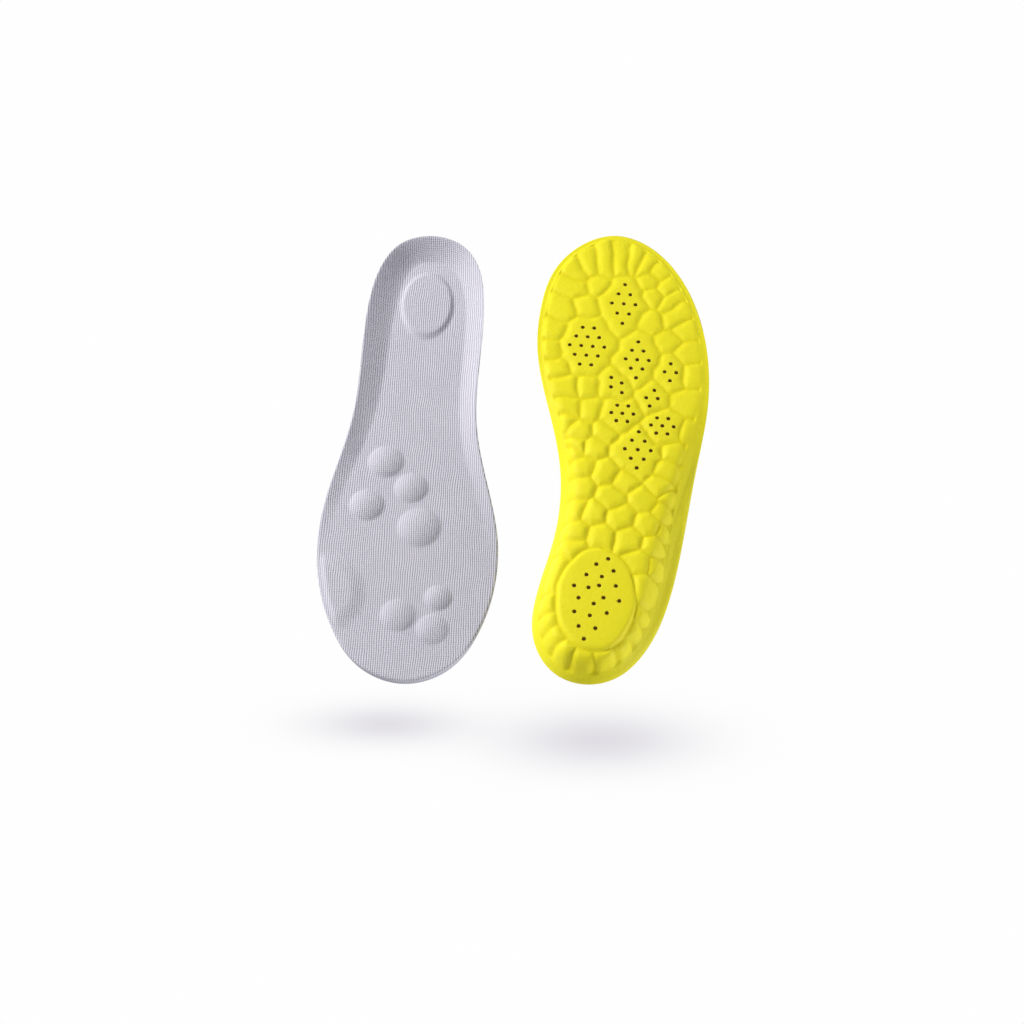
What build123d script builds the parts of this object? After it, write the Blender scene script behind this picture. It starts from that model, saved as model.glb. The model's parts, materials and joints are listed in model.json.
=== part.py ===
# A pair of cushioned shoe insoles, in millimetres, +Z up.
# The right insole lies on its sole with its toe towards -Y. The left insole is turned
# over: it rests on its heel rim and toe edge, sole up, with its toe towards +Y.
# Each insole is a knit cover on a comfort foam sheet on a moulded base foam. Pads and
# massage domes sit between the cover and the foam. The three layers are divided at the
# line where the toes bend, so that the forefoot can turn on a hinge.
#
# An insole's own axes: u runs to the outer side of the foot, v from the heel to the
# toe, and w up from the sole.
from build123d import *
import math
import os

# --- driving dimensions ---------------------------------------------------------------
LENGTH = 262.0
BASE_TOP = 5.0             # top of the base foam in the bed
FOAM_TOP = 7.0             # top of the comfort foam in the bed
COVER_TOP = 8.0            # top of the knit cover in the bed

# Plan outline: half widths of the foot's inner and outer side at distances from the heel.
STATIONS = [5, 18, 42, 80, 120, 155, 185, 212, 236, 253]
RIGHT_OUTLINE = {
    "inner": [-16.5, -26.3, -31.3, -30.9, -31.0, -38.6, -44.3, -42.9, -35.1, -23.2],
    "outer": [14.0, 23.3, 29.5, 31.5, 34.5, 42.7, 46.3, 43.0, 34.0, 21.0],
    "heel": -1.0,
    "toe": -1.5,
}
LEFT_OUTLINE = {
    "inner": [-23.2, -32.6, -33.9, -27.0, -28.1, -38.1, -44.7, -44.7, -39.6, -27.6],
    "outer": [10.2, 22.0, 31.2, 37.7, 42.5, 46.7, 45.6, 40.0, 29.8, 15.8],
    "heel": -7.0,
    "toe": -7.5,
}

# Wall at each station: how far the sole and the bed's edge lie inside the rim, how high
# the rim stands, and how much the wall is a cup (1) rather than the flat edge (0).
SOLE_INSET = {
    "inner": [7.0, 6.5, 6.0, 6.5, 6.0, 4.5, 4.0, 4.0, 4.0, 4.0],
    "outer": [8.0, 10.5, 13.5, 13.5, 10.5, 6.0, 4.0, 4.0, 4.0, 4.0],
    "heel": 7.0,
    "toe": 4.0,
}
BED_INSET = {
    "inner": [10.0, 9.5, 9.0, 9.5, 8.5, 6.0, 5.0, 5.0, 5.0, 5.0],
    "outer": [10.5, 11.5, 12.5, 13.0, 11.5, 8.0, 5.0, 5.0, 5.0, 5.0],
    "heel": 10.0,
    "toe": 5.0,
}
RIM_HEIGHTS = [17.0, 17.0, 17.0, 16.0, 13.0, 9.6, 8.0, 8.0, 8.0, 8.0]
CUP_SHARE = [1.0, 1.0, 1.0, 1.0, 0.75, 0.2, 0.0, 0.0, 0.0, 0.0]
EDGE_TOPS = (2.2, 6.8, COVER_TOP)  # tops of the three layers at the flat edge
EDGE_LEAN = 1.0            # how far the flat edge's foot lies inside its top
RIM_LAYER = 0.8            # thickness of the comfort foam and the cover at the cup's rim
LAYER_STEP = 0.8           # how much further in each layer's bed edge lies than the last
FACETS = 56                # flat facets round the outline

# Toe bend: a slanted line across the ball of the foot, with a thin gap.
BEND_POINT = (0.0, 192.0)
BEND_SLANT = -15.0         # degrees: the outer end lies nearer the heel
BEND_GAP = 0.6

# Pads and domes: place (u, v) and size.
HEEL_PAD = {"at": (-0.7, 41.8), "radii": (13.0, 19.8)}
BALL_PAD = {"at": (42.0, 216.5), "radii": (18.5, 18.5)}
PAD_TOP = 8.5
ARCH_DOMES = [(15.0, 140.5, 9.2), (1.0, 155.5, 8.6), (23.0, 166.0, 8.9), (-4.0, 178.0, 11.0)]
ARCH_DOME_RISE = 3.2       # height above the comfort foam
TOE_DOMES = [(3.5, 226.5, 8.7), (-16.0, 217.8, 6.8), (-13.8, 233.8, 8.0)]
TOE_DOME_RISE = 2.4
PAD_HEADROOM = 10.0        # taller than any pad
PAD_MARGIN = 3.0           # width of foam left outside the ball pad
COVER_THICKNESS = COVER_TOP - FOAM_TOP

# Places of the two insoles: the heel's end, the turn about Z, and the left one's tilt.
RIGHT_HEEL = (-47.9, 129.45)
RIGHT_YAW = 178.0
LEFT_HEEL = (38.7, -128.45)
LEFT_YAW = -5.0
LEFT_TILT = -2.3


# --- outline helpers ------------------------------------------------------------------
def around(table):
    """A table's values in order: heel, outer side, toe, inner side."""
    return [table["heel"]] + table["outer"] + [table["toe"]] + table["inner"][::-1]


def both_sides(values):
    """A list that is the same on both sides of the foot, in the order of around()."""
    return [values[0]] + values + [values[-1]] + values[::-1]


class Section:
    """The wall's section at one place on the outline."""

    def __init__(self, rim, inward, sole, bed, height, cup):
        self.rim = rim
        self.inward = inward
        self.sole = sole
        self.bed = bed
        self.height = height
        self.cup = cup

    def point(self, inset, w):
        u, v = self.rim
        return (u + self.inward[0] * inset, v + self.inward[1] * inset, w)

    def sole_edge(self):
        return self.point(self.sole, 0.0)

    def layer_edge(self, layer):
        """A layer's outer edge: at the rim of the cup, or on the flat forefoot's side."""
        top = EDGE_TOPS[layer]
        lean = EDGE_LEAN * (1 - top / COVER_TOP)
        inset = self.cup * RIM_LAYER * layer + (1 - self.cup) * lean
        w = self.cup * self.height + (1 - self.cup) * top
        return self.point(inset, w)

    def bed_edge(self, top, layer):
        return self.point(self.bed + LAYER_STEP * layer, top)


def sections(outline):
    """Sections evenly spaced round the outline, from the heel by the outer side."""
    stations = [0.0] + STATIONS + [LENGTH] + STATIONS[::-1]
    corners = [Vector(u, v, 0) for u, v in zip(around(outline), stations)]
    curve = Edge.make_spline(corners, periodic=True)
    marks = [curve.param_at_point(corner) for corner in corners[1:]]
    marks = [0.0] + marks + [1.0]
    tables = [around(SOLE_INSET), around(BED_INSET), both_sides(RIM_HEIGHTS), both_sides(CUP_SHARE)]
    result = []
    for i in range(FACETS):
        share = i / FACETS
        after = next(k for k, mark in enumerate(marks) if mark > share)
        part = (share - marks[after - 1]) / (marks[after] - marks[after - 1])
        values = [t[after - 1] * (1 - part) + t[after % len(t)] * part for t in tables]
        rim = curve.position_at(share)
        along = curve.tangent_at(share)
        result.append(Section((rim.X, rim.Y), (-along.Y, along.X), *values))
    return result


# --- the layers -----------------------------------------------------------------------
def flat_face(points):
    return Face(Wire.make_polygon([Vector(*point) for point in points], close=True))


def strip(lower, upper):
    """Triangles between two rings of points."""
    faces = []
    for i, point in enumerate(lower):
        after = (i + 1) % len(lower)
        faces.append(flat_face([point, lower[after], upper[i]]))
        faces.append(flat_face([lower[after], upper[after], upper[i]]))
    return faces


def layer_rings(rings, top, layer):
    """The two rings of a layer's upper surface: its outer edge and its bed's edge."""
    edge = [ring.layer_edge(layer) for ring in rings]
    bed = [ring.bed_edge(top, layer) for ring in rings]
    return edge, bed


def closed(faces):
    return Solid(Shell(faces))


def layers(outline):
    """The whole base foam, comfort foam and cover of one insole."""
    rings = sections(outline)
    sole = [ring.sole_edge() for ring in rings]
    tops = [layer_rings(rings, top, i) for i, top in enumerate((BASE_TOP, FOAM_TOP, COVER_TOP))]
    edge, bed = tops[0]
    solids = [closed([flat_face(sole)] + strip(sole, edge) + strip(edge, bed) + [flat_face(bed)])]
    for (edge, bed), (next_edge, next_bed) in zip(tops, tops[1:]):
        under = strip(edge, bed) + [flat_face(bed)]
        over = strip(next_edge, next_bed) + [flat_face(next_bed)]
        solids.append(closed(under + strip(edge, next_edge) + over))
    return solids


def ellipse_block(pad, grow, low, high):
    u, v = pad["at"]
    a, b = pad["radii"]
    face = Pos(u, v, low) * Ellipse(a + grow, b + grow)
    return extrude(face, amount=high - low)


def dome(u, v, radius, rise, grow=0.0):
    """A spherical cap standing on the comfort foam, or one that is thicker by grow."""
    ball_radius = (radius * radius + rise * rise) / (2 * rise)
    ball = Pos(u, v, FOAM_TOP + rise - ball_radius) * Sphere(ball_radius + grow)
    return split(ball, bisect_by=Plane.XY.offset(FOAM_TOP), keep=Keep.TOP)


def heel_pad(grow=0.0, low=BASE_TOP):
    return ellipse_block(HEEL_PAD, grow, low, PAD_TOP + grow)


def ball_pad(outline, grow=0.0, low=BASE_TOP):
    """A round pad cut off along the outer edge of the forefoot."""
    edge = [ring.point(PAD_MARGIN - grow, low) for ring in sections(outline)]
    inside = extrude(flat_face(edge), amount=PAD_HEADROOM, dir=(0, 0, 1))
    return ellipse_block(BALL_PAD, grow, low, PAD_TOP + grow) & inside


def inserts(outline):
    """The pads and domes by name, each as its solid and the boss it lifts in the cover."""
    result = {
        "heel_pad": (heel_pad(), heel_pad(COVER_THICKNESS, FOAM_TOP)),
        "ball_pad": (ball_pad(outline), ball_pad(outline, COVER_THICKNESS, FOAM_TOP)),
    }
    for i, (u, v, radius) in enumerate(ARCH_DOMES, 1):
        solid = dome(u, v, radius, ARCH_DOME_RISE)
        result[f"arch_dome_{i}"] = (solid, dome(u, v, radius, ARCH_DOME_RISE, COVER_THICKNESS))
    for i, (u, v, radius) in enumerate(TOE_DOMES, 1):
        solid = dome(u, v, radius, TOE_DOME_RISE)
        result[f"toe_dome_{i}"] = (solid, dome(u, v, radius, TOE_DOME_RISE, COVER_THICKNESS))
    return result


def bend_plane(offset):
    """The upright plane across the toe bend, moved towards the toe by offset."""
    slant = math.radians(BEND_SLANT)
    toward_toe = Vector(-math.sin(slant), math.cos(slant), 0)
    origin = Vector(*BEND_POINT, 0) + toward_toe * offset
    return Plane(origin=origin, x_dir=(math.cos(slant), math.sin(slant), 0), z_dir=toward_toe)


def insole(outline):
    """One insole's pieces by name, in its own axes."""
    base, foam, cover = layers(outline)
    pieces = inserts(outline)
    for solid, boss in pieces.values():
        cover = cover + boss
    for solid, boss in pieces.values():
        cover = cover - solid
    for name in ("heel_pad", "ball_pad"):
        foam = foam - pieces[name][0]
    result = {}
    for name, whole in (("base_foam", base), ("comfort_foam", foam), ("cover", cover)):
        rear = split(whole, bisect_by=bend_plane(-BEND_GAP / 2), keep=Keep.BOTTOM)
        front = split(whole, bisect_by=bend_plane(BEND_GAP / 2), keep=Keep.TOP)
        result[name + "_rear"] = rear
        result[name + "_front"] = front
    for name, (solid, boss) in pieces.items():
        result[name] = solid
    return result


# --- the pair -------------------------------------------------------------------------
def right_place():
    return Pos(*RIGHT_HEEL, 0) * Rot(0, 0, RIGHT_YAW)


def left_place(height):
    return Pos(*LEFT_HEEL, height) * Rot(0, 0, LEFT_YAW) * Rot(LEFT_TILT, 0, 0)


def turned_over(piece):
    return mirror(piece, about=Plane.XY)


def lowest(pieces):
    return min(piece.bounding_box().min.Z for piece in pieces)


def pair():
    """All the pieces of both insoles by node name, in the pair's frame."""
    nodes = {}
    for name, piece in insole(RIGHT_OUTLINE).items():
        nodes["right_" + name] = right_place() * piece
    left = {name: turned_over(piece) for name, piece in insole(LEFT_OUTLINE).items()}
    height = -lowest([left_place(0) * piece for piece in left.values()])
    print("left insole height", round(height, 3))
    for name, piece in left.items():
        nodes["left_" + name] = left_place(height) * piece
    return nodes


def main():
    os.makedirs("parts", exist_ok=True)
    for name, piece in pair().items():
        export_step(piece, f"parts/{name}.step")


if __name__ == "__main__":
    main()
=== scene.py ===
"""A pair of cushioned insoles: the right one face up, the left one turned sole up.

Each insole is modelled in its own axes, in millimetres: u runs to the outer side of the
foot, v from the heel to the toe, w up from the sole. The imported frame's sole mounts say
where each insole lies.
"""

import json
import math

import bpy
import numpy as np
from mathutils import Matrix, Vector
from mathutils.kdtree import KDTree


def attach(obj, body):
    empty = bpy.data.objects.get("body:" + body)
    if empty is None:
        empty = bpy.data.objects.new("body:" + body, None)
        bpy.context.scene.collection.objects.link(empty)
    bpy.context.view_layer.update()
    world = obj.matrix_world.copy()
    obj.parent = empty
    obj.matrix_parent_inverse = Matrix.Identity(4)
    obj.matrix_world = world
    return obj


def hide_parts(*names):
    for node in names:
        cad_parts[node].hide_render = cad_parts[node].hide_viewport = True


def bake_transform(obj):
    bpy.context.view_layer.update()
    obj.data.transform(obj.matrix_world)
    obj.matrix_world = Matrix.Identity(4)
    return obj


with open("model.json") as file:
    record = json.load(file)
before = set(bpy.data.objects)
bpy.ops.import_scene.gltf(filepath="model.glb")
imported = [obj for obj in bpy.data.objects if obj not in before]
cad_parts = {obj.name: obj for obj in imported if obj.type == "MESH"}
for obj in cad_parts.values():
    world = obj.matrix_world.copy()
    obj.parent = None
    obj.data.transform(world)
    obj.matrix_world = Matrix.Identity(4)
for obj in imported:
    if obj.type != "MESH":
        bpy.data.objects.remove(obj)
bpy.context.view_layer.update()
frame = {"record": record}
RECORD = frame["record"]
MM = 0.001

# --- driving dimensions, mm -----------------------------------------------------------------
# The plan is the CAD part's. The cup's rim and bed are a little softer than its facets.
LENGTH = 262.0
BASE_TOP = 5.0             # top of the base foam in the bed
FOAM_TOP = 7.0             # top of the comfort foam in the bed
COVER_TOP = 8.0            # top of the knit cover in the bed
BASE_EDGE = 2.2            # top of the base foam at the flat edge
FOAM_EDGE = 6.8            # top of the comfort foam at the flat edge
RIM_COVER = 0.95           # how far the cover folds down outside the cup's rim

# Half widths of the inner and outer side at each station's distance from the heel. Flare is
# how far the soft rim leans out past the plan at the heel and at the toe; negative is in.
STATIONS = [5, 18, 42, 80, 120, 155, 185, 212, 236, 253]
OUTLINES = {
    "right": {
        "inner": [-16.5, -26.3, -31.3, -30.9, -31.0, -38.6, -44.3, -42.9, -35.1, -23.2],
        "outer": [14.0, 23.3, 29.5, 31.5, 34.5, 42.7, 46.3, 43.0, 34.0, 21.0],
        "heel": -1.0,
        "toe": -1.5,
        "flare": (-1.6, -1.5),
    },
    "left": {
        "inner": [-23.2, -32.6, -33.9, -27.0, -28.1, -38.1, -44.7, -44.7, -39.6, -27.6],
        "outer": [10.2, 22.0, 31.2, 37.7, 42.5, 46.7, 45.6, 40.0, 29.8, 15.8],
        "heel": -7.0,
        "toe": -7.5,
        "flare": (2.8, 1.4),
    },
}

# How far inside the outline the flat sole, the flat bed and the cells begin.
SOLE_INSET = {
    "inner": [7.0, 6.5, 6.0, 6.5, 6.0, 4.5, 4.0, 4.0, 4.0, 4.0],
    "outer": [8.0, 10.5, 13.5, 13.5, 10.5, 6.0, 4.0, 4.0, 4.0, 4.0],
    "heel": 7.0,
    "toe": 4.0,
}
BED_INSET = {
    "inner": [11.5, 11.0, 10.0, 10.0, 9.0, 7.5, 6.0, 6.0, 6.0, 6.0],
    "outer": [12.0, 13.0, 14.0, 13.0, 10.0, 7.5, 6.0, 6.0, 6.0, 6.0],
    "heel": 12.0,
    "toe": 6.0,
}
CELL_START = {
    "inner": [3.0, 3.0, 3.0, 3.5, 4.0, 4.0, 3.4, 3.4, 3.4, 3.4],
    "outer": [4.0, 4.5, 5.0, 7.5, 8.0, 5.0, 3.4, 3.4, 3.4, 3.4],
    "heel": 3.0,
    "toe": 3.4,
}

# How high the rim stands at each station, and how much the wall is a cup (1) rather than
# the flat edge (0).
RIM_HEIGHTS = [17.0, 17.0, 17.0, 16.3, 14.0, 10.2, 8.0, 8.0, 8.0, 8.0]
CUP_SHARE = [1.0, 1.0, 1.0, 1.0, 0.75, 0.2, 0.0, 0.0, 0.0, 0.0]

# Pads and domes: their places (u, v), radii and rises; a dome is (u, v, radius).
HEEL_PAD = {"at": (-0.7, 41.8), "radii": (13.4, 20.4), "rise": 1.9, "soft": 1.35}
BALL_PAD = {"at": (42.8, 215.3), "radii": (19.5, 19.5), "rise": 1.7, "soft": 4.6}
ARCH_DOMES = [(14.8, 139.5, 9.2), (1.0, 154.5, 8.6), (22.8, 165.0, 8.9), (-4.3, 177.0, 11.0)]
TOE_DOMES = [(3.2, 226.0, 8.7), (-16.0, 216.0, 6.8), (-14.0, 233.0, 8.0)]
ARCH_DOME_RISE = 3.2
TOE_DOME_RISE = 2.4

# --- mesh fineness ------------------------------------------------------------------------
ACROSS = 120               # grid cells across the heel and across the toe
ALONG = 360                # grid cells along each side
PERIMETER = 2 * (ACROSS + ALONG)


# --- outline --------------------------------------------------------------------------------
SPLINE_STEPS = 200         # points between two knots before they are spaced evenly
HEEL_REACH = 30            # how far from the heel its flare reaches, mm
TOE_REACH = 27             # how far from the toe its flare reaches, mm
WALL_CURVE = 1.3           # how the cup's wall rises from the bed: 1 is a straight slope
SOLE_ROUND = 2.6           # how softly the wall meets the sole, mm
LIP_HEIGHT = 1.3           # how high the forefoot's lip turns up, mm
LIP_BEAD = 0.12            # height of the bead along the lip, mm


def around(table):
    """A table's values in order: heel, outer side, toe, inner side."""
    return [table["heel"]] + table["outer"] + [table["toe"]] + table["inner"][::-1]


def both_sides(values):
    return [values[0]] + values + [values[-1]] + values[::-1]


def closed_spline(knots, count):
    """A smooth closed curve through knots: count points evenly spaced along it, and the
    knot number, with its fraction, at each."""
    knots = np.array(knots, float)
    n = len(knots)
    after = np.roll(knots, -1, axis=0)
    step = np.linalg.norm(after - knots, axis=1)
    before = np.roll(step, 1)
    matrix = np.zeros((n, n))
    for i in range(n):
        matrix[i, i - 1] = before[i]
        matrix[i, i] = 2 * (before[i] + step[i])
        matrix[i, (i + 1) % n] = step[i]
    slope = (after - knots) / step[:, None]
    bend = np.linalg.solve(matrix, 6 * (slope - np.roll(slope, 1, axis=0)))
    points, marks = [], []
    for i in range(n):
        h = step[i]
        x = (np.arange(SPLINE_STEPS) / SPLINE_STEPS * h)[:, None]
        a, b = bend[i], bend[(i + 1) % n]
        start = slope[i] - h * (2 * a + b) / 6
        points.append(knots[i] + start * x + a * x**2 / 2 + (b - a) * x**3 / (6 * h))
        marks.append(i + np.arange(SPLINE_STEPS) / SPLINE_STEPS)
    points = np.concatenate(points)
    marks = np.concatenate(marks)
    run = np.linalg.norm(np.roll(points, -1, axis=0) - points, axis=1)
    along = np.concatenate([[0], np.cumsum(run)])
    points = np.concatenate([points, points[:1]])
    marks = np.concatenate([marks, [n]])
    wanted = np.arange(count) / count * along[-1]
    curve = np.stack([np.interp(wanted, along, points[:, k]) for k in (0, 1)], axis=1)
    return curve, np.interp(wanted, along, marks)


def smoothed(values, reach):
    """Values round a closed loop, blurred over about reach places each way."""
    offsets = np.arange(-3 * reach, 3 * reach + 1)
    weights = np.exp(-0.5 * (offsets / reach) ** 2)
    total = sum(w * np.roll(values, o, axis=0) for o, w in zip(offsets, weights))
    return total / weights.sum()


def smoothstep(low, high, x):
    t = np.clip((x - low) / (high - low), 0, 1)
    return t * t * (3 - 2 * t)


def blurred(grid, reach):
    """A grid of values, blurred over about reach places each way."""
    offsets = np.arange(-3 * reach, 3 * reach + 1)
    weights = np.exp(-0.5 * (offsets / reach) ** 2)
    weights /= weights.sum()
    padded = np.pad(grid, 3 * reach, mode="edge")
    rows = sum(w * padded[k : k + grid.shape[0]] for k, w in enumerate(weights))
    return sum(w * rows[:, k : k + grid.shape[1]] for k, w in enumerate(weights))


class Insole:
    """The shape of one insole: its outline, and its surfaces' heights."""

    def __init__(self, side):
        self.side = side
        outline = OUTLINES[side]
        v = [0.0] + STATIONS + [LENGTH] + STATIONS[::-1]
        self.rim, marks = closed_spline(list(zip(around(outline), v)), PERIMETER)
        heel_flare, toe_flare = outline["flare"]
        v = self.rim[:, 1]
        v = v - heel_flare * np.clip(1 - v / HEEL_REACH, 0, 1) ** 2
        near_toe = np.clip((v - LENGTH + TOE_REACH) / TOE_REACH, 0, 1)
        self.rim[:, 1] = v + toe_flare * near_toe**2
        along = np.roll(self.rim, -1, axis=0) - np.roll(self.rim, 1, axis=0)
        along /= np.linalg.norm(along, axis=1)[:, None]
        inward = smoothed(np.stack([-along[:, 1], along[:, 0]], axis=1), 4)
        self.inward = inward / np.linalg.norm(inward, axis=1)[:, None]
        self.sole = self.table(around(SOLE_INSET), marks)
        self.bed = self.table(around(BED_INSET), marks)
        self.cells = self.table(around(CELL_START), marks)
        self.height = self.table(both_sides(RIM_HEIGHTS), marks)
        self.cup = self.table(both_sides(CUP_SHARE), marks)
        self.tree = KDTree(PERIMETER)
        for i, (a, b) in enumerate(self.rim):
            self.tree.insert((a, b, 0), i)
        self.tree.balance()
        self.find_place()

    def table(self, values, marks):
        loop = np.array(values + values[:1], float)
        return smoothed(np.interp(marks, np.arange(len(loop)), loop), 10)

    def find_place(self):
        """Where the insole lies in the pair's frame, from the two mounts on its sole."""
        mounts = {m["name"]: m for m in RECORD["mounts"]}
        heel = mounts[self.side + "_sole_heel"]
        ball = mounts[self.side + "_sole_forefoot"]
        heel_at, ball_at = Vector(heel["pos_m"]), Vector(ball["pos_m"])
        self.toward_toe = (ball_at - heel_at).normalized()
        self.up = -Vector(heel["axis"]).normalized()
        outward = self.toward_toe.cross(self.up)
        self.outward = outward if self.side == "right" else -outward
        self.origin = heel_at - self.toward_toe * 60 * MM
        self.mirrored = self.side == "left"

    def inset(self, distance):
        """Points inside the outline by a distance, which may differ from place to place."""
        return self.rim + self.inward * np.reshape(distance, (-1, 1))

    def from_edge(self, points):
        """Each point's distance inside the outline, and its nearest place on it."""
        flat = points.reshape(-1, 2)
        places = np.array([self.tree.find((a, b, 0))[1] for a, b in flat])
        away = np.einsum("ij,ij->i", flat - self.rim[places], self.inward[places])
        far = np.linalg.norm(flat - self.rim[places], axis=1)
        away = np.where(far < 4, away, far)
        return away.reshape(points.shape[:-1]), places.reshape(points.shape[:-1])

    # Heights of the surfaces.
    def wall(self, distance, place):
        """The top of the cover without pads: flat bed, rising to the rim of the cup."""
        rise = self.height[place] - COVER_TOP
        x = np.clip(1 - distance / self.bed[place], 0, 1)
        return COVER_TOP + rise * x**WALL_CURVE

    def bumps(self, points):
        """How far the pads and domes lift the cover."""
        lift = np.zeros(points.shape[:-1])
        for domes, rise in ((ARCH_DOMES, ARCH_DOME_RISE), (TOE_DOMES, TOE_DOME_RISE)):
            for u, v, radius in domes:
                lift = np.maximum(lift, dome_lift(points, (u, v), radius, rise))
        for pad in (HEEL_PAD, BALL_PAD):
            lift = np.maximum(lift, pad_lift(points, pad))
        return lift

    def top(self, points, distance, place):
        near_edge = smoothstep(1.0, 4.5, distance)
        return self.wall(distance, place) + self.bumps(points) * near_edge

    def under(self, distance, place):
        """The base foam's outside without its cells: the cup's wall, or the flat lip."""
        sole = self.sole[place]
        high = self.height[place] - RIM_COVER
        x = sole - distance
        full = sole + np.sqrt(sole**2 + SOLE_ROUND**2)
        wall = high * (x + np.sqrt(x**2 + SOLE_ROUND**2)) / full
        bead = LIP_BEAD * np.exp(-(((distance - 1.0) / 0.9) ** 2))
        lip = LIP_HEIGHT * (1 - smoothstep(1.0, 5.0, distance)) - bead
        cup = self.cup[place]
        return cup * wall + (1 - cup) * lip

    def wall_level(self, place):
        """How deep the plain wall lies beside the cells' crowns, as a share of their depth."""
        return WALL_LEVEL["lip"] + (WALL_LEVEL["cup"] - WALL_LEVEL["lip"]) * self.cup[place]

    def cell_depth(self, distance, place):
        """How deep the cells' creases are, measured upright: deeper where the wall is steep."""
        slope = (self.under(distance - 0.3, place) - self.under(distance + 0.3, place)) / 0.6
        steep = np.clip(np.sqrt(1 + slope**2) - 1, 0, 1.2)
        return CELL_DEPTH * (1 + self.cup[place] * (0.4 + steep))

    def plain_wall(self, distance, place):
        """The base foam's outside beside the cells."""
        level = self.wall_level(place) * smoothstep(0.2, 4.5, distance)
        return self.under(distance, place) + self.cell_depth(distance, place) * level

    def depth_of(self, distance, place, wanted, spare):
        """A layer's depth below the cover's top, leaving some foam outside it at the rim."""
        whole = self.wall(distance, place) - self.plain_wall(distance, place)
        return np.minimum(wanted, whole - spare)


def dome_lift(points, at, radius, rise):
    """A low round dome with a small soft foot."""
    away = np.linalg.norm(points - np.array(at), axis=-1)
    share = np.clip(1 - (away / radius) ** 2, -1, 1)
    cap = rise * np.sign(share) * np.abs(share) ** 0.85
    soft = 0.18
    return (cap + np.sqrt(cap**2 + soft**2)) / 2 * smoothstep(1.25, 1.0, away / radius)


def pad_lift(points, pad):
    """A flat pad with a crown and a rounded edge."""
    a, b = pad["radii"]
    x = (points[..., 0] - pad["at"][0]) / a
    y = (points[..., 1] - pad["at"][1]) / b
    inside = (1 - np.sqrt(x * x + y * y)) * min(a, b)
    crown = 0.25 * np.clip(inside / min(a, b), 0, 1)
    return (pad["rise"] + crown) * smoothstep(-pad["soft"], pad["soft"], inside)


# --- the moulded cells and the ventilation holes of the sole --------------------------------
HOLE_RADIUS = 1.05
HOLE_DEPTH = 1.7
HOLE_SIDES = 20
CELL_DEPTH = 1.15
OVAL_ROUND = 2.0           # how far the heel's oval cell rounds over at its edge
CELL_ROUND = (2.4, 4.0)    # the least and most that the other cells round over
CREASE_SOFT = 0.15         # rounding of the crease's bottom
CELL_TILT = 0.04           # the most that a cell's crown tilts, as a slope
CELL_UNEVEN = 0.14         # how unevenly high the crowns are, as a share of the depth
PILLOW = 2.1               # how the cells round over: 1 is a straight slope to the crease
END_ROUND = 4.0            # how far the outer cells' ends round over towards the wall
WALL_LEVEL = {"lip": 0.25, "cup": 0.5}  # how deep the wall lies, beside the cells' crowns


def hole_rows(at, rows, pitch, spacing, slant=0.0):
    """Holes in rows of the given counts, from the toe down, centred on at."""
    found = []
    for k, count in enumerate(rows):
        down = k - (len(rows) - 1) / 2
        for j in range(count):
            across = (j - (count - 1) / 2) * pitch
            found.append((at[0] + across - slant * down, at[1] - spacing * down))
    return found


HOLE_GROUPS = {
    "toe": hole_rows((-0.6, 216), (1, 2, 3, 2, 1), 6.3, 6.5),
    "ball": hole_rows((-18.4, 186.5), (2, 3, 4, 3, 2), 6.1, 6.0),
    "middle": hole_rows((8.5, 180), (1, 2, 3, 2, 1), 6.1, 5.8),
    "outer": hole_rows((26.2, 173.5), (1, 2, 1), 6.1, 5.4),
    "centre": hole_rows((17.4, 156.2), (1, 2, 1), 6.0, 5.0, 1.0),
    "inner": [(-4.4, 167.4), (1.2, 164.4), (-4.2, 161.4), (1.6, 158.3)],
    "inner_waist": hole_rows((2.6, 145.4), (2, 3, 2), 5.7, 4.8),
    "outer_waist": hole_rows((23.5, 139.5), (2, 3, 2), 5.8, 4.7),
    "waist": hole_rows((11.7, 123.8), (1, 2, 3, 2, 1), 6.6, 5.5),
}
HEEL_HOLES = [
    (0.5, 58.7), (-5.1, 55.2), (3.5, 52.1), (-9.6, 49), (-2, 48.5), (-15.2, 42.4), (-8.1, 41.9),
    (-3, 43.4), (5.1, 43.9), (-12.6, 35.8), (-0.5, 36.8), (7.2, 35.8), (-5, 33.2), (-14.1, 28.1),
    (1.6, 28.6), (-6.5, 26.6), (-11.5, 20.4), (-3.4, 19.9), (-8.5, 13.8),
]
HEEL_CELL = {"at": (-4.2, 36.5), "radii": (19.6, 28.3)}
# The places of the plain cells; a long cell has two places.
TOE_RIBS = [
    [(-22.5, 251), (-20.5, 239)], [(-13.5, 254.5), (-11.5, 240)], [(-4, 255.5), (-3.5, 241.5)],
    [(5, 253.5), (3.5, 243)], [(12, 249), (9, 241.5)],
]
OUTER_RIBS = [
    [(18.5, 242.5), (16.5, 240)], [(25, 231.5), (22, 229)], [(28.5, 224.5), (24, 219)],
    [(32, 217.5), (26.5, 209)], [(36.5, 203), (33, 202)], [(38, 189), (34, 187)],
    [(40, 173.5), (37, 173)], [(40, 156), (33, 155)], [(37, 137.5)],
]
INNER_RIBS = [
    [(-31, 241), (-25.5, 234.5)], [(-36, 228), (-26.5, 225.5)], [(-39.5, 215.5), (-32, 210)],
    [(-40.5, 196.5), (-37, 196)], [(-40, 183), (-36.5, 183)], [(-38, 171), (-32.5, 171.5)],
    [(-34.5, 160), (-26.5, 160.5)], [(-31, 147.5), (-24.5, 146)], [(-29, 139), (-26.5, 140.5)],
]
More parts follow.
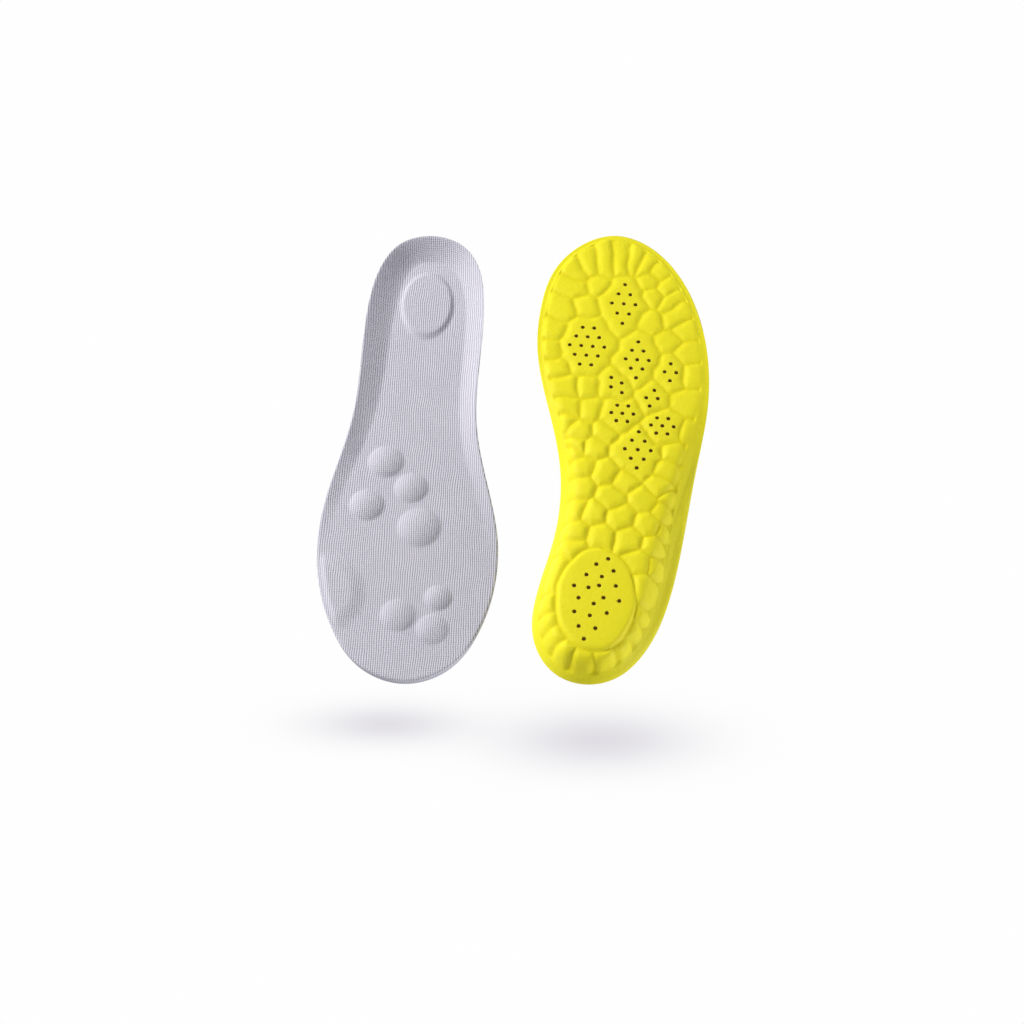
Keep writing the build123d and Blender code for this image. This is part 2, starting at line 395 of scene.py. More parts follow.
HEEL_RIBS = [
    [(-23, 53.5), (-25, 44.5)], [(-27, 32), (-30.5, 31.5)], [(-27.5, 23), (-30.5, 23)],
    [(-23.5, 15), (-27.5, 12)], [(-18.5, 7.5), (-22, 2.5)], [(-8.5, 3.5), (-9, -3.5)],
    [(3, 6), (5, -0.5)], [(10.5, 13.5), (15.5, 9)], [(15.5, 23), (20, 20.5)],
    [(18, 31.5), (22, 31)], [(20, 47), (20.5, 40.5)],
]
FOREFOOT_CELLS = [
    (-16, 229), (-21, 213), (12.5, 233.5), (16, 222.5), (14.5, 206), (25, 193.5), (-16.5, 161.5),
    (-14, 147), (-19, 133.5), (-5.5, 133.5), (-21, 122), (-10.5, 124),
]
WAIST_CELLS = [
    (-20, 124), (-16, 112), (-4, 109.5), (7, 105.5), (-16, 99.5), (0, 95), (-18, 87), (-8.5, 85),
    (5.5, 84), (16, 95.5), (24, 104), (27.5, 113), (30, 124.5), (30.5, 97), (27.5, 89),
    (19.5, 80.5), (28.5, 77.5), (-16.5, 74), (-4.5, 71.5), (10.5, 71), (23, 69.5), (-17, 64),
    (16.5, 59), (24.5, 58),
]


def all_cells():
    """Every cell but the heel's oval one, as a list of places; the holed cells first."""
    cells = [list(group) for group in HOLE_GROUPS.values()]
    for rib in TOE_RIBS + OUTER_RIBS + INNER_RIBS + HEEL_RIBS:
        start, end = np.array(rib[0]), np.array(rib[-1])
        cells.append([tuple(start + (end - start) * k / 6) for k in range(7)])
    cells += [[place] for place in FOREFOOT_CELLS + WAIST_CELLS]
    return cells


def inside_heel_oval(points):
    """How far points lie inside the heel's oval cell; negative outside."""
    a, b = HEEL_CELL["radii"]
    x, y = points[:, 0] - HEEL_CELL["at"][0], points[:, 1] - HEEL_CELL["at"][1]
    level = np.sqrt((x / a) ** 2 + (y / b) ** 2)
    steep = np.sqrt((x / a**2) ** 2 + (y / b**2) ** 2) / np.maximum(level, 0.05)
    return (1 - level) / np.maximum(steep, 1 / b)


def cell_relief(points):
    """How near each point is to its cell's crease, 0 on the crown and 1 in the crease, and
    how far the crown itself stands from the common level."""
    places, owner = [], []
    for number, cell in enumerate(all_cells()):
        for place in cell:
            places.append(place)
            owner.append(number)
    places, owner = np.array(places, float), np.array(owner)
    flat = points.reshape(-1, 2).copy()
    flat[:, 0] += 0.25 * np.sin(flat[:, 1] / 3.1) + 0.1 * np.sin(flat[:, 1] / 1.7 + 2)
    flat[:, 1] += 0.25 * np.sin(flat[:, 0] / 2.9 + 1) + 0.1 * np.sin(flat[:, 0] / 1.5)
    apart = ((places[:, None] - places[None]) ** 2).sum(-1) ** 0.5
    far = ((flat[:, None] - places[None]) ** 2).sum(-1)
    nearest = far.argmin(1)
    own = far[np.arange(len(flat)), nearest]
    gap = np.full(len(flat), 1e9)
    for q in range(len(places)):
        other = owner[nearest] != owner[q]
        spacing = np.maximum(apart[nearest, q], 1e-6)
        gap = np.where(other, np.minimum(gap, (far[:, q] - own) / (2 * spacing)), gap)
    oval = inside_heel_oval(flat)
    gap = np.where(oval > 0, oval, np.minimum(gap, -oval))
    mine = owner[nearest]
    holed = (mine < len(HOLE_GROUPS)) | (oval > 0)
    widest = np.zeros(owner.max() + 1)
    np.maximum.at(widest, mine, np.where(oval > 0, 0, gap))
    rounding = np.where(oval > 0, OVAL_ROUND, np.clip(0.75 * widest[mine], *CELL_ROUND))
    t = np.clip((np.sqrt(gap**2 + CREASE_SOFT**2) - CREASE_SOFT) / rounding, 0, 1)
    # Each plain cell's crown stands a little higher or lower, and tilts a little.
    middle = np.array([places[owner == k].mean(0) for k in range(owner.max() + 1)])[mine]
    lean = (flat[:, 0] - middle[:, 0]) * CELL_TILT * np.sin(mine * 1.7)
    lean += (flat[:, 1] - middle[:, 1]) * CELL_TILT * np.cos(mine * 2.9)
    crown = np.where(holed, 0.0, CELL_UNEVEN * np.sin(mine * 2.4) + lean)
    return (1 - t).reshape(points.shape[:-1]), crown.reshape(points.shape[:-1])


# --- mesh helpers ----------------------------------------------------------------------------
def grid_in(loop):
    """A grid of points inside a closed loop of PERIMETER points, which is its border.
    The loop starts at the middle of the heel and goes round by the outer side."""
    loop = np.roll(loop, ACROSS // 2, axis=0)
    loop = np.concatenate([loop, loop[:1]])
    heel = loop[: ACROSS + 1]
    outer = loop[ACROSS : ACROSS + ALONG + 1]
    toe = loop[ACROSS + ALONG : 2 * ACROSS + ALONG + 1][::-1]
    inner = loop[2 * ACROSS + ALONG :][::-1]
    a = np.linspace(0, 1, ACROSS + 1)[:, None, None]
    b = np.linspace(0, 1, ALONG + 1)[None, :, None]
    sides = (1 - b) * heel[:, None] + b * toe[:, None] + (1 - a) * inner[None] + a * outer[None]
    corners = (1 - a) * ((1 - b) * heel[0] + b * toe[0]) + a * ((1 - b) * heel[-1] + b * toe[-1])
    return sides - corners


def border_of(numbers):
    """A grid's border vertices in the loop's order, starting at the middle of the heel."""
    loop = np.concatenate(
        [numbers[:-1, 0], numbers[-1, :-1], numbers[:0:-1, -1], numbers[0, :0:-1]]
    )
    return np.roll(loop, -(ACROSS // 2))


class Builder:
    """Collects vertices and faces of one closed piece, in an insole's axes."""

    def __init__(self, insole):
        self.insole = insole
        self.points = []
        self.faces = []
        self.count = 0

    def add_points(self, plan, height):
        flat = np.concatenate([plan.reshape(-1, 2), np.reshape(height, (-1, 1))], axis=1)
        self.points.append(flat)
        self.count += len(flat)
        return np.arange(self.count - len(flat), self.count)

    def add_grid(self, plan, height, upward):
        numbers = self.add_points(plan, height).reshape(ACROSS + 1, ALONG + 1)
        a, b = numbers[:-1, :-1].ravel(), numbers[1:, :-1].ravel()
        c, d = numbers[1:, 1:].ravel(), numbers[:-1, 1:].ravel()
        quads = np.stack([a, b, c, d] if upward else [d, c, b, a], axis=1)
        self.faces += quads.tolist()
        return border_of(numbers)

    def add_ring(self, inset, height):
        return self.add_points(self.insole.inset(inset), height)

    def join(self, lower, upper):
        """Quads between two rings; seen from outside, upper is above lower."""
        after_low, after_up = np.roll(lower, -1), np.roll(upper, -1)
        self.faces += np.stack([lower, after_low, after_up, upper], axis=1).tolist()

    def chain(self, rings):
        for lower, upper in zip(rings, rings[1:]):
            self.join(lower, upper)

    def cap(self, ring, upward, columns=1):
        """Closes a ring with rows of quads from one side to the other, which can bend."""
        points = np.concatenate(self.points)
        shares = (np.arange(1, columns) / columns)[:, None]
        half = len(ring) // 2
        rows = []
        for k in range(1, half):
            start, end = points[ring[k]], points[ring[-k]]
            between = start + (end - start) * shares
            numbers = self.add_points(between[:, :2], between[:, 2])
            rows.append([ring[k], *numbers, ring[-k]])
        faces = [[ring[0], a, b] for a, b in zip(rows[0], rows[0][1:])]
        for row, after in zip(rows, rows[1:]):
            faces += [list(quad) for quad in zip(row, after, after[1:], row[1:])]
        faces += [[a, ring[half], b] for a, b in zip(rows[-1], rows[-1][1:])]
        self.faces += [face if upward else face[::-1] for face in faces]

    def make(self, name):
        """The piece as an object in the pair's frame, in metres."""
        local = np.concatenate(self.points)
        insole = self.insole
        axes = np.array([insole.outward, insole.toward_toe, insole.up])
        world = local @ axes * MM + np.array(insole.origin)
        faces = self.faces
        if insole.mirrored:
            faces = [face[::-1] for face in faces]
        mesh = bpy.data.meshes.new(name)
        mesh.from_pydata(world.tolist(), [], faces)
        mesh.update()
        mesh.shade_smooth()
        mesh.set_sharp_from_angle(angle=math.radians(55))
        store(mesh, "local", local.astype(np.float32))
        obj = bpy.data.objects.new(name, mesh)
        bpy.context.scene.collection.objects.link(obj)
        return obj


def store(mesh, name, values):
    """Keeps a vector or a number on each vertex, for the materials."""
    if values.ndim == 2:
        attribute = mesh.attributes.new(name, "FLOAT_VECTOR", "POINT")
        attribute.data.foreach_set("vector", values.ravel())
    else:
        attribute = mesh.attributes.new(name, "FLOAT", "POINT")
        attribute.data.foreach_set("value", values.astype(np.float32))


# --- the pieces ------------------------------------------------------------------------------
COVER_THICKNESS = 0.9
ROUND_EDGE = 1.1           # radius of the cover's rolled edge
FIT = 0.06                 # gap between one layer and the next
HIDDEN_EDGE = 1.2          # how far inside the outline the hidden faces begin
CUP_EDGE = 2.05            # width of the plain band along the cup's rim, outside the cells
ROLL_STEPS = 5             # rings round the cover's rolled edge
ROLL_SHARE = 0.85          # how much of the cover's edge the roll takes up
# How far each layer's trimmed edge lies inside the outline round the forefoot.
TRIM = {
    "right": {"cover": 0.0, "comfort": 0.4, "base": 1.4},
    "left": {"cover": 0.7, "comfort": 0.4, "base": 0.0},
}
# The comfort foam's cut side, from its foot up: the share of its height, and how far in it
# lies. The groove half way up is the line between its two plies.
CUT_SIDE = (
    (0.0, 0.2), (0.12, 0.0), (0.42, 0.02), (0.5, 0.22), (0.58, 0.02), (0.88, 0.0), (1.0, 0.2),
)
CUT_SIDE_FOOT = 2.3        # height of the cut side's foot
CUT_SIDE_HEIGHT = 4.45
# Where the hidden layers have rings, as shares of the way from the rim in to the flat bed.
UP_THE_WALL = (0.02, 0.06, 0.11, 0.17, 0.25, 0.4, 0.6, 1.0)
CAP_COLUMNS = 12


def sheet_depth(share):
    """How deep the soft foam's underside lies below the cover's top, mm."""
    return 1.75 + 1.2 * share


def knit_cover(insole):
    """The knit sheet: its top with pads and domes, a rolled edge and its underside."""
    b = Builder(insole)
    every = np.arange(PERIMETER)
    lean = TRIM[insole.side]["cover"]
    plan = grid_in(insole.inset(lean + ROUND_EDGE))
    distance, place = insole.from_edge(plan)
    height = insole.top(plan, distance, place)
    top = b.add_grid(plan, height, upward=True)
    below = insole.cup * (insole.height - RIM_COVER) + (1 - insole.cup) * FOAM_EDGE
    edge_drop = insole.wall(lean, every) - below
    rings = [top]
    for k in range(1, ROLL_STEPS + 1):
        turn = math.radians(90 * k / ROLL_STEPS)
        inset = lean + ROUND_EDGE * (1 - math.sin(turn))
        drop = edge_drop * (1 - math.cos(turn)) * ROLL_SHARE
        rings.append(b.add_ring(inset, insole.wall(inset, every) - drop))
    rings.append(b.add_ring(lean + 0.12, below))
    rings.append(b.add_ring(lean + ROUND_EDGE * 0.6, below + 0.1))
    underside = b.add_grid(plan, height - COVER_THICKNESS, upward=False)
    rings.append(underside)
    b.chain(rings[::-1])
    return b.make(insole.side + "_knit_cover")


def comfort_sheet(insole):
    """The soft foam under the cover, with its cut side showing round the forefoot."""
    b = Builder(insole)
    every = np.arange(PERIMETER)
    cup = insole.cup
    rings = []

    def under_cover(share, depth, spare):
        inset = HIDDEN_EDGE + share * (insole.bed - HIDDEN_EDGE)
        drop = insole.depth_of(inset, every, depth, spare)
        return b.add_ring(inset, insole.wall(inset, every) - drop)

    low = [under_cover(share, sheet_depth(share), 0.15) for share in UP_THE_WALL[::-1]]
    b.cap(low[0], upward=False, columns=CAP_COLUMNS)
    side = []
    rim_edge = HIDDEN_EDGE + 0.1
    at_edge = insole.wall(rim_edge, every)
    low_edge = at_edge - insole.depth_of(rim_edge, every, sheet_depth(0), 0.15)
    high_edge = at_edge - insole.depth_of(rim_edge, every, COVER_THICKNESS + FIT, 0.25)
    low_trim = TRIM[insole.side]["comfort"]
    for part, inward in CUT_SIDE:
        flat_w = CUT_SIDE_FOOT + part * CUT_SIDE_HEIGHT
        cup_w = low_edge + (high_edge - low_edge) * part
        trim = low_trim + (TRIM[insole.side]["cover"] + 0.15 - low_trim) * part
        inset = cup * rim_edge + (1 - cup) * (trim + inward)
        side.append(b.add_ring(inset, cup * cup_w + (1 - cup) * flat_w))
    high = [under_cover(share, COVER_THICKNESS + FIT, 0.25) for share in UP_THE_WALL]
    b.chain(low + side + high)
    b.cap(high[-1], upward=True, columns=CAP_COLUMNS)
    return b.make(insole.side + "_comfort_sheet")


def base_foam(insole):
    """The moulded base: pillowed cells, rolled sole edge, wall or lip, and a plain top."""
    b = Builder(insole)
    every = np.arange(PERIMETER)
    cup = insole.cup
    trim = 0.05 + TRIM[insole.side]["base"] * (1 - cup)
    grid_inset = trim + CUP_EDGE * cup
    plan = grid_in(insole.inset(grid_inset))
    distance, place = insole.from_edge(plan)
    beyond = distance - insole.cells[place]
    fade = smoothstep(-0.8, 0.9, beyond)
    to_crease, crown = cell_relief(plan)
    to_wall = insole.wall_level(place) ** (1 / PILLOW) * (1 - np.clip(beyond / END_ROUND, 0, 1))
    sunk = np.minimum(np.sqrt(to_crease**2 + to_wall**2), 1) ** PILLOW
    relief = sunk + crown * (1 - sunk)
    relief = 0.3 * blurred(relief, 2) + 0.7 * relief
    depth = insole.cell_depth(distance, place)
    cells = insole.under(distance, place) + depth * relief
    height = insole.plain_wall(distance, place) * (1 - fade) + cells * fade
    height = np.minimum(height, insole.wall(distance, place) - COVER_THICKNESS - 0.3)
    sole = b.add_grid(plan, height, upward=False)
    rings = [sole]
    for part in (0.8, 0.6, 0.4, 0.2):
        inset = trim + (grid_inset - trim) * part
        rings.append(b.add_ring(inset, insole.plain_wall(inset, every)))
    edge = cup * (insole.height - 0.9) + (1 - cup) * BASE_EDGE
    rings.append(b.add_ring(trim, edge))
    for share in UP_THE_WALL:
        inset = HIDDEN_EDGE + share * (insole.bed - HIDDEN_EDGE)
        depth = insole.depth_of(inset, every, sheet_depth(share) + 0.11, 0.05)
        under_sheet = insole.wall(inset, every) - depth
        sloped = BASE_EDGE + (BASE_TOP - FIT - BASE_EDGE) * share
        rings.append(b.add_ring(inset, cup * under_sheet + (1 - cup) * sloped))
    b.chain(rings)
    b.cap(rings[-1], upward=True, columns=CAP_COLUMNS)
    foam = b.make(insole.side + "_base_foam")
    # How near each point lies to a crease, used for the painted shade in the creases.
    crease = np.zeros(b.count)
    crease[: relief.size] = (np.clip(relief, 0, 1) * fade).ravel()
    store(foam.data, "crease", crease)
    inside = np.zeros(b.count)
    inside[: relief.size] = distance.ravel()
    store(foam.data, "inside", inside)
    return foam


def holes_for(insole):
    """The ventilation holes as one mesh of cylinders, which is cut out of the base."""
    b = Builder(insole)
    places = [hole for group in HOLE_GROUPS.values() for hole in group] + HEEL_HOLES
    turn = np.arange(HOLE_SIDES) * 2 * math.pi / HOLE_SIDES
    for u, v in places:
        ring = np.stack([u + HOLE_RADIUS * np.cos(turn), v + HOLE_RADIUS * np.sin(turn)], 1)
        low = b.add_points(ring, np.full(HOLE_SIDES, -2.0))
        high = b.add_points(ring, np.full(HOLE_SIDES, HOLE_DEPTH))
        b.join(low, high)
        b.cap(low, upward=False)
        b.cap(high, upward=True)
    return b.make(insole.side + "_holes")


def cut_holes(foam, holes):
    """Cuts the holes' mesh out of the foam, and removes it."""
    cut = foam.modifiers.new("holes", "BOOLEAN")
    cut.operation = "DIFFERENCE"
    cut.object = holes
    cut.solver = "MANIFOLD"
    bpy.context.view_layer.update()
    evaluated = foam.evaluated_get(bpy.context.evaluated_depsgraph_get())
    result = bpy.data.meshes.new_from_object(evaluated)
    foam.modifiers.clear()
    foam.data = result
    bpy.data.objects.remove(holes)


# The pads and domes lie inside the bulges they raise in the cover.
PAD_MARGIN = 1.2
DOME_MARGIN = 1.6
PAD_RISE = 1.35
INSERT_FLOOR = FOAM_TOP + 0.01
EDGE_MARGIN = 3.4          # the least distance from the ball pad to the outline


def pad_piece(insole, name, pad):
    """A pad under the cover: an oval or round cushion with a rounded edge."""
    rings = [(1.0, 0.0), (1.02, 0.3), (1.02, 0.7), (0.98, 0.93), (0.9, 1.0)]
    radii = [radius - PAD_MARGIN for radius in pad["radii"]]
    return turned_piece(insole, name, pad["at"], radii, PAD_RISE, rings)


def dome_piece(insole, name, dome, rise):
    """A massage dome under the cover."""
    u, v, radius = dome
    rings = [(math.cos(math.radians(a)), math.sin(math.radians(a))) for a in range(0, 90, 15)]
    radii = (radius - DOME_MARGIN,) * 2
    return turned_piece(insole, name, (u, v), radii, rise - 0.5, rings)


def turned_piece(insole, name, at, radii, rise, rings):
    """A closed oval piece from rings, each a share of the radii and a share of the rise."""
    b = Builder(insole)
    sides = 48
    turn = np.arange(sides) * 2 * math.pi / sides
    made = []
    for grow, lift in rings:
        plan = np.stack(
            [at[0] + radii[0] * grow * np.cos(turn), at[1] + radii[1] * grow * np.sin(turn)], 1
        )
        if name.startswith("ball_pad"):
            plan = kept_inside(insole, plan, EDGE_MARGIN)
        made.append(b.add_points(plan, np.full(sides, INSERT_FLOOR + rise * lift)))
    b.cap(made[0], upward=False)
    b.chain(made)
    b.cap(made[-1], upward=True)
    return b.make(insole.side + "_" + name)


def kept_inside(insole, plan, margin):
    """Points moved inwards until they lie at least margin inside the outline."""
    distance, place = insole.from_edge(plan)
    inside = np.einsum("ij,ij->i", plan - insole.rim[place], insole.inward[place])
    push = np.clip(margin - np.minimum(distance, inside), 0, None)
    return plan + insole.inward[place] * push[:, None]


# --- materials -------------------------------------------------------------------------------
class Nodes:
    """Short ways to add and link shader nodes."""

    def __init__(self, name):
        self.material = bpy.data.materials.new(name)
        self.material.use_nodes = True
        self.tree = self.material.node_tree
        self.tree.nodes.clear()
        self.shader = self.add("ShaderNodeBsdfPrincipled")
        out = self.add("ShaderNodeOutputMaterial")
        self.link(self.shader.outputs[0], out.inputs["Surface"])

    def add(self, kind, **settings):
        node = self.tree.nodes.new(kind)
        for key, value in settings.items():
            setattr(node, key, value)
        return node

    def link(self, source, target):
        self.tree.links.new(source, target)

    def put(self, socket, value):
        if isinstance(value, bpy.types.NodeSocket):
            self.link(value, socket)
        else:
            socket.default_value = value

    def math(self, operation, *values):
        node = self.add("ShaderNodeMath", operation=operation)
        for socket, value in zip(node.inputs, values):
            self.put(socket, value)
        return node.outputs[0]

    def attribute(self, name, output):
        return self.add("ShaderNodeAttribute", attribute_name=name).outputs[output]

    def noise(self, vector, scale, detail=3.0, roughness=0.5):
        node = self.add("ShaderNodeTexNoise")
        self.put(node.inputs["Vector"], vector)
        node.inputs["Scale"].default_value = scale
        node.inputs["Detail"].default_value = detail
        node.inputs["Roughness"].default_value = roughness
        return node.outputs["Fac"]

    def mix(self, share, first, second):
        node = self.add("ShaderNodeMix", data_type="RGBA")
        self.put(node.inputs["Factor"], share)
        self.put(node.inputs[6], first)
        self.put(node.inputs[7], second)
        return node.outputs[2]

    def bump(self, height, distance, strength=1.0, normal=None):
        node = self.add("ShaderNodeBump")
        self.put(node.inputs["Height"], height)
        node.inputs["Distance"].default_value = distance
        node.inputs["Strength"].default_value = strength
        if normal is not None:
            self.link(normal, node.inputs["Normal"])
        return node.outputs["Normal"]


WALE_PITCH = 1.13          # width of one knitted column, mm
COURSE_PITCH = 0.95        # height of one stitch, mm


def knit_material():
    n = Nodes("lavender_grey_knit")
    local = n.attribute("local", "Vector")
    wobble = n.noise(local, 0.05, 2.0)
    apart = n.add("ShaderNodeSeparateXYZ")
    n.link(local, apart.inputs[0])
    u, v = apart.outputs[0], apart.outputs[1]
    wander = n.math("MULTIPLY", n.math("SUBTRACT", wobble, 0.5), 3.0)
    column = n.math("DIVIDE", n.math("ADD", u, wander), WALE_PITCH)
    across = n.math("SUBTRACT", n.math("FRACT", column), 0.5)
    leg = n.math("ABSOLUTE", across)
    # A column is a round ridge of V-shaped stitches; the valley between columns is deepest.
    ridge = n.math("SUBTRACT", 1.0, n.math("MULTIPLY", n.math("MULTIPLY", leg, leg), 4.4))
    row = n.math("ADD", n.math("DIVIDE", v, COURSE_PITCH), n.math("MULTIPLY", leg, 1.3))
    wave = n.math("SINE", n.math("MULTIPLY", row, 2 * math.pi))
    stitch = n.math("MULTIPLY_ADD", wave, 0.25, 0.75)
    yarn = n.math("MULTIPLY", n.math("MAXIMUM", ridge, 0.0), stitch)
    fuzz = n.noise(local, 3.2, 4.0, 0.7)
    yarn = n.math("ADD", yarn, n.math("MULTIPLY", n.math("SUBTRACT", fuzz, 0.5), 0.22))
    patch = n.noise(local, 0.06, 3.0)
    light = n.mix(patch, (0.765, 0.75, 0.835, 1), (0.84, 0.825, 0.905, 1))
    # The stitch pattern is the knit's own. Its valleys between columns and stitches are coloured
    # darker as painted shade.
    painted_shade = (0.30, 0.29, 0.37, 1)
    tone = n.add("ShaderNodeMapRange")
    n.link(yarn, tone.inputs[0])
    tone.inputs[1].default_value = -0.1
    tone.inputs[2].default_value = 0.75
    n.link(n.mix(tone.outputs[0], painted_shade, light), n.shader.inputs["Base Color"])
    n.shader.inputs["Roughness"].default_value = 0.92
    n.shader.inputs["Specular IOR Level"].default_value = 0.2
    n.shader.inputs["Sheen Weight"].default_value = 0.08
    n.shader.inputs["Sheen Roughness"].default_value = 0.5
    n.link(n.bump(yarn, 0.00035, 0.8), n.shader.inputs["Normal"])
    return n.material


MOULD_LINE = 3.2           # how far the moulding line lies inside the outline, mm
MOULD_LINE_WIDTH = 0.5
MOULD_LINE_STARTS = (205, 230)  # where it fades in, as distances from the heel


def yellow_foam_material():
    n = Nodes("yellow_moulded_foam")
    local = n.attribute("local", "Vector")
    crease = n.attribute("crease", "Fac")
    patch = n.noise(local, 0.08, 4.0, 0.6)
    body = n.mix(patch, (0.86, 0.77, 0.014, 1), (0.93, 0.85, 0.028, 1))
    # Painted shade: the yellow is mixed towards a darker yellow in the cells' creases.
    deep = n.math("POWER", crease, 4.0)
    n.link(n.mix(deep, body, (0.80, 0.68, 0.004, 1)), n.shader.inputs["Base Color"])
    n.shader.inputs["Roughness"].default_value = 0.55
    n.shader.inputs["Specular IOR Level"].default_value = 0.15
    n.shader.inputs["Subsurface Weight"].default_value = 0.12
    n.shader.inputs["Subsurface Radius"].default_value = (0.004, 0.003, 0.0004)
    n.shader.inputs["Subsurface Scale"].default_value = 0.5
    grain = n.noise(local, 5.5, 3.0, 0.6)
    swell = n.noise(local, 0.5, 2.0)
    normal = n.bump(swell, 0.0006, 0.35)
    # A fine moulding line runs just inside the edge round the toe.
    away = n.math("SUBTRACT", n.attribute("inside", "Fac"), MOULD_LINE)
    away = n.math("DIVIDE", away, MOULD_LINE_WIDTH)
    line = n.math("EXPONENT", n.math("MULTIPLY", n.math("MULTIPLY", away, away), -1.0))
    apart = n.add("ShaderNodeSeparateXYZ")
    n.link(local, apart.inputs[0])
    near_toe = n.add("ShaderNodeMapRange")
    n.link(apart.outputs[1], near_toe.inputs[0])
    near_toe.inputs[1].default_value, near_toe.inputs[2].default_value = MOULD_LINE_STARTS
    normal = n.bump(n.math("MULTIPLY", line, near_toe.outputs[0]), 0.00016, 1.0, normal)
    n.link(n.bump(grain, 0.00003, 0.35, normal), n.shader.inputs["Normal"])
    return n.material


def hole_shade_material():
    # Painted shade: the walls of the holes are coloured dark brown for the shade inside them.
    n = Nodes("painted_shade_in_holes")
    local = n.attribute("local", "Vector")
    tone = n.noise(local, 1.5, 2.0)
    painted_hole_shade = n.mix(tone, (0.30, 0.19, 0.03, 1), (0.45, 0.30, 0.05, 1))
    n.link(painted_hole_shade, n.shader.inputs["Base Color"])
    n.shader.inputs["Roughness"].default_value = 0.9
    return n.material


def sheet_foam_material():
    n = Nodes("grey_cut_foam")
    local = n.attribute("local", "Vector")
    pores = n.noise(local, 4.0, 4.0, 0.7)
    grey = n.mix(pores, (0.42, 0.425, 0.49, 1), (0.58, 0.585, 0.66, 1))
    n.link(grey, n.shader.inputs["Base Color"])
    n.shader.inputs["Roughness"].default_value = 0.95
    n.link(n.bump(pores, 0.0002, 0.6), n.shader.inputs["Normal"])
    return n.material


def insert_material():
    n = Nodes("dense_insert_foam")
    local = n.attribute("local", "Vector")
    pores = n.noise(local, 2.0, 3.0, 0.6)
    grey = n.mix(pores, (0.52, 0.50, 0.58, 1), (0.64, 0.62, 0.70, 1))
    n.link(grey, n.shader.inputs["Base Color"])
    n.shader.inputs["Roughness"].default_value = 0.85
    n.link(n.bump(pores, 0.0001, 0.5), n.shader.inputs["Normal"])
    return n.material


def paint(obj, *materials):
    obj.data.materials.clear()
    for material in materials:
        obj.data.materials.append(material)


def bend_at_toe(piece):
    """Bakes a piece's placement into its mesh."""
    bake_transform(piece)


def make_insole(side, paints):
    """Both foams, the cover, the pads and the domes of one insole."""
    insole = Insole(side)
    cover = knit_cover(insole)
    paint(cover, paints["knit"])
    sheet = comfort_sheet(insole)
    paint(sheet, paints["sheet"])
    base = base_foam(insole)
    paint(base, paints["yellow"], paints["hole"])
    holes = holes_for(insole)
    # The cylinders carry the painted hole shade, which the cut passes on to the holes' walls.
    paint(holes, paints["yellow"], paints["hole"])
    holes.data.polygons.foreach_set("material_index", [1] * len(holes.data.polygons))
    cut_holes(base, holes)
    for piece, node, slot in (
        (cover, "cover", "knit_cover"),
        (sheet, "comfort_foam", "comfort_foam"),
        (base, "base_foam", "base_foam"),
    ):
        bend_at_toe(piece)
        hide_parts(f"{side}_{node}_rear", f"{side}_{node}_front")
    add_inserts(insole, paints["insert"])


def add_inserts(insole, material):
    """The pads and domes: those behind the toe bend hang on the rear body."""
    side = insole.side
    rear = [("heel_pad", pad_piece(insole, "heel_pad_cushion", HEEL_PAD))]
    for i, dome in enumerate(ARCH_DOMES, 1):
        name = f"arch_dome_{i}"
        rear.append((name, dome_piece(insole, name + "_cushion", dome, ARCH_DOME_RISE)))
    front = [("ball_pad", pad_piece(insole, "ball_pad_cushion", BALL_PAD))]
    for i, dome in enumerate(TOE_DOMES, 1):
        name = f"toe_dome_{i}"
        front.append((name, dome_piece(insole, name + "_cushion", dome, TOE_DOME_RISE)))
    for name, piece in rear:
        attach(piece, side + "_rear")
    for name, piece in front:
        bend_at_toe(piece)
    for name, piece in rear + front:
        paint(piece, material)
        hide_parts(f"{side}_{name}")


# --- the stage ---------------------------------------------------------------------------------
AIM = Vector((-0.0031, -0.0344, 0.0))
CAMERA_ELEVATION = math.radians(61.4)
CAMERA_DISTANCE = 0.93
CAMERA_LENS = 64.15
SENSOR_WIDTH = 36
FLOOR_DROP = 0.10
FLOOR_HALF = 6.0
FLOOR_WHITE = 0.992
# Each soft shadow's place and radii on the floor, and how dark it is.
SHADOWS = [((-0.071, -0.110), (0.040, 0.011), 0.24), ((0.044, -0.119), (0.050, 0.016), 0.26)]


def add_camera():
    data = bpy.data.cameras.new("camera")
    data.lens = CAMERA_LENS
    data.sensor_width = SENSOR_WIDTH
    camera = bpy.data.objects.new("camera", data)
    back = Vector((0, -math.cos(CAMERA_ELEVATION), math.sin(CAMERA_ELEVATION)))
    camera.location = AIM + back * CAMERA_DISTANCE
    camera.rotation_euler = (-back).to_track_quat("-Z", "Y").to_euler()
    bpy.context.scene.collection.objects.link(camera)
    bpy.context.scene.camera = camera


def add_light(name, place, size, power, colour):
    data = bpy.data.lights.new(name, "AREA")
    data.shape = "DISK"
    data.size = size
    data.energy = power
    data.color = colour
    light = bpy.data.objects.new(name, data)
    light.location = place
    light.rotation_euler = (AIM - Vector(place)).to_track_quat("-Z", "Y").to_euler()
    bpy.context.scene.collection.objects.link(light)


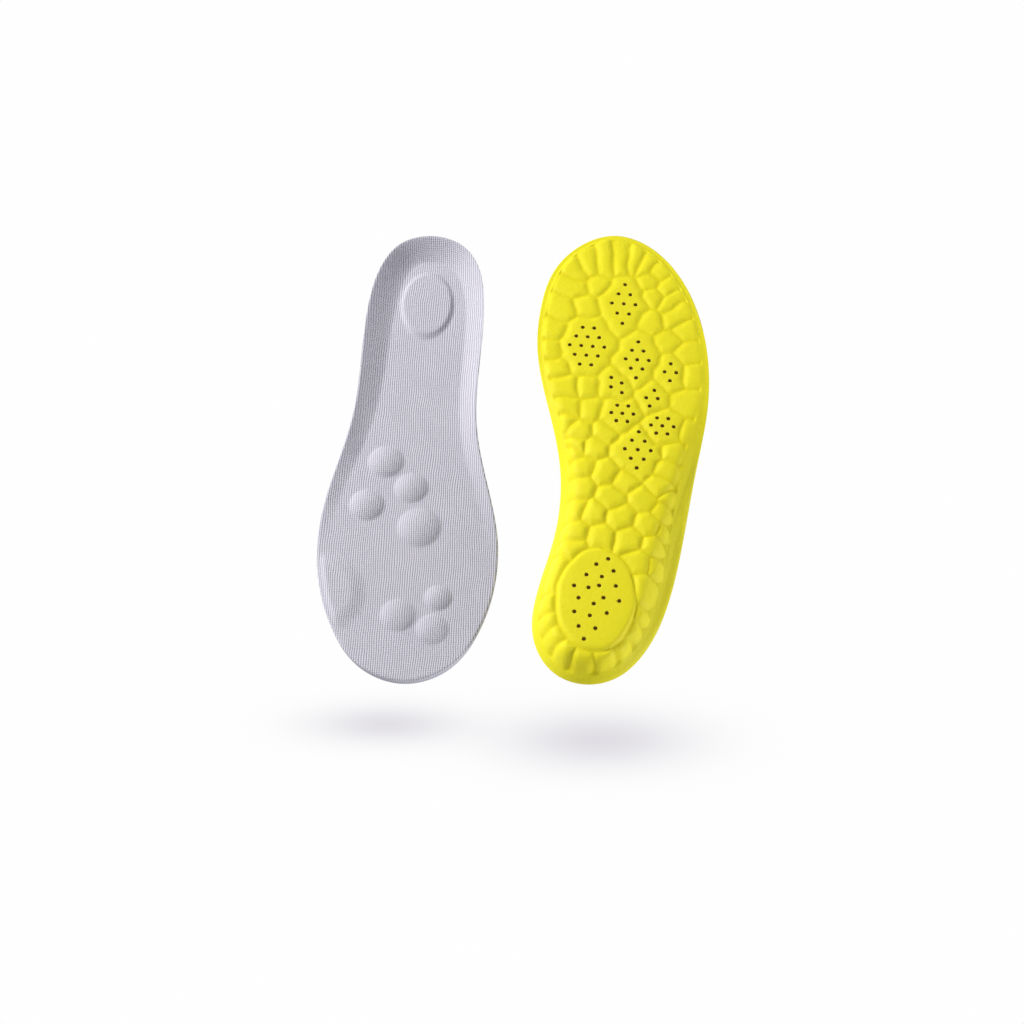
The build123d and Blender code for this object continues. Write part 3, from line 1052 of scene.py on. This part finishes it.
def add_floor():
    mesh = bpy.data.meshes.new("floor")
    corners = [(x * FLOOR_HALF, y * FLOOR_HALF, 0) for x, y in ((-1, -1), (1, -1), (1, 1), (-1, 1))]
    mesh.from_pydata(corners, [], [(0, 1, 2, 3)])
    floor = bpy.data.objects.new("floor", mesh)
    floor.location = (0, 0, -FLOOR_DROP)
    bpy.context.scene.collection.objects.link(floor)
    paint(floor, floor_material())


def floor_material():
    """A bright white floor with a soft shadow below each insole's near end."""
    n = Nodes("white_floor")
    place = n.add("ShaderNodeTexCoord").outputs["Object"]
    light = FLOOR_WHITE
    for at, radii, strength in SHADOWS:
        moved = n.add("ShaderNodeVectorMath", operation="SUBTRACT")
        n.link(place, moved.inputs[0])
        moved.inputs[1].default_value = (*at, 0)
        scaled = n.add("ShaderNodeVectorMath", operation="DIVIDE")
        n.link(moved.outputs[0], scaled.inputs[0])
        scaled.inputs[1].default_value = (*radii, 1)
        length = n.add("ShaderNodeVectorMath", operation="LENGTH")
        n.link(scaled.outputs[0], length.inputs[0])
        away = n.math("POWER", length.outputs["Value"], 2.0)
        painted_shade = n.math("MULTIPLY", n.math("EXPONENT", n.math("MULTIPLY", away, -1.0)), strength)
        light = n.math("SUBTRACT", light, painted_shade)
    n.shader.inputs["Base Color"].default_value = (0, 0, 0, 1)
    n.shader.inputs["Roughness"].default_value = 1.0
    n.shader.inputs["Specular IOR Level"].default_value = 0.0
    tint = n.mix(light, (0.06, 0.0, 0.16, 1), (1, 1, 1, 1))
    n.link(tint, n.shader.inputs["Emission Color"])
    n.shader.inputs["Emission Strength"].default_value = 1.0
    return n.material


def add_world():
    world = bpy.data.worlds.new("studio")
    world.use_nodes = True
    background = world.node_tree.nodes["Background"]
    background.inputs["Color"].default_value = (0.97, 0.98, 1.0, 1)
    background.inputs["Strength"].default_value = 0.32
    bpy.context.scene.world = world


def add_stage():
    add_camera()
    add_floor()
    add_world()
    add_light("key", (-1.00, 0.52, 0.96), 0.36, 21.0, (1.0, 0.99, 0.97))
    add_light("fill", (1.15, -0.45, 0.04), 0.25, 6.0, (1.0, 1.0, 1.0))
    bpy.context.scene.view_settings.view_transform = "Standard"


def main():
    paints = {
        "knit": knit_material(),
        "sheet": sheet_foam_material(),
        "yellow": yellow_foam_material(),
        "hole": hole_shade_material(),
        "insert": insert_material(),
    }
    make_insole("right", paints)
    make_insole("left", paints)
    add_stage()


main()
